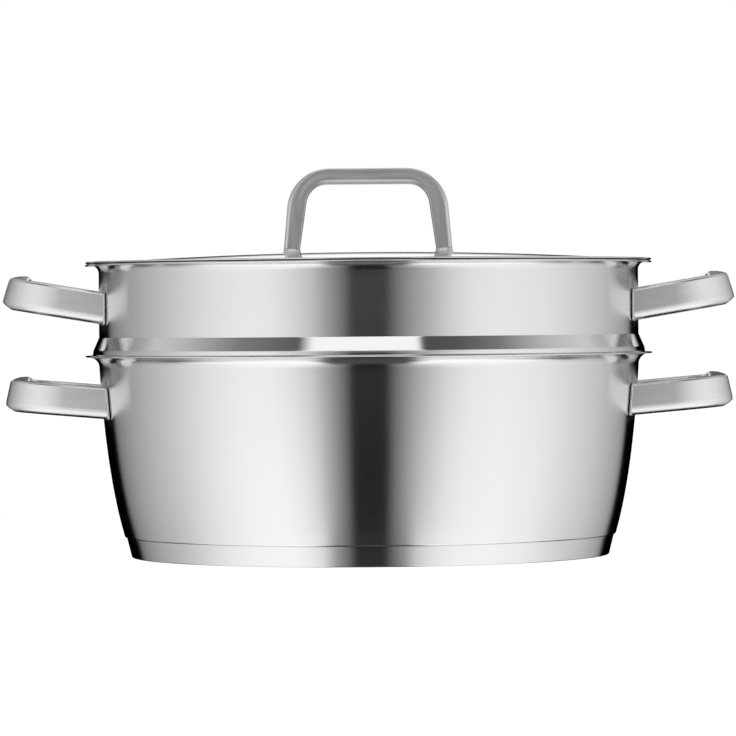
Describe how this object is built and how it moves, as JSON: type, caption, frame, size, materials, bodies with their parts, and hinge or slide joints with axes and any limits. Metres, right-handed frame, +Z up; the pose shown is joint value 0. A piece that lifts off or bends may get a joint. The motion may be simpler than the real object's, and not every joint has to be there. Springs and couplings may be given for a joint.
{
  "type": "braiser with steamer insert",
  "caption": "Round stainless steel braiser with a capsule base, a stacking steamer insert with a perforated floor, a flat lid with an arch handle, and bow side handles.",
  "frame": {"origin": "middle of the underside of the base, which stands on the hob", "axes": "+X along the line of the side handles, +Z up from the base to the lid"},
  "size_m": [0.3812, 0.2964, 0.2023],
  "materials": {
    "satin_steel": "satin, brushed round the vessel",
    "polished_steel": "polished",
    "handle_steel": "satin",
    "core_aluminium": "plain, closed in by the base"
  },
  "bodies": {
    "braiser": {"braiser_shell": "satin_steel", "base_core": "core_aluminium", "base_capsule": "polished_steel", "braiser_handle_left": "handle_steel", "braiser_handle_left_front_foot": "handle_steel", "braiser_handle_left_rear_foot": "handle_steel", "braiser_handle_right": "handle_steel", "braiser_handle_right_front_foot": "handle_steel", "braiser_handle_right_rear_foot": "handle_steel"},
    "steamer": {"steamer_wall": "satin_steel", "steamer_floor": "satin_steel", "steamer_handle_left": "handle_steel", "steamer_handle_left_front_foot": "handle_steel", "steamer_handle_left_rear_foot": "handle_steel", "steamer_handle_right": "handle_steel", "steamer_handle_right_front_foot": "handle_steel", "steamer_handle_right_rear_foot": "handle_steel"},
    "lid": {"lid_shell": "polished_steel", "lid_handle": "handle_steel", "lid_handle_left_foot": "handle_steel", "lid_handle_right_foot": "handle_steel"}
  },
  "joints": [
    {"name": "steamer_lift", "type": "slide", "parent": "braiser", "child": "steamer", "axis": [0, 0, 1], "range_m": [0, 0.15]},
    {"name": "lid_lift", "type": "slide", "parent": "steamer", "child": "lid", "axis": [0, 0, 1], "range_m": [0, 0.12]}
  ]
}
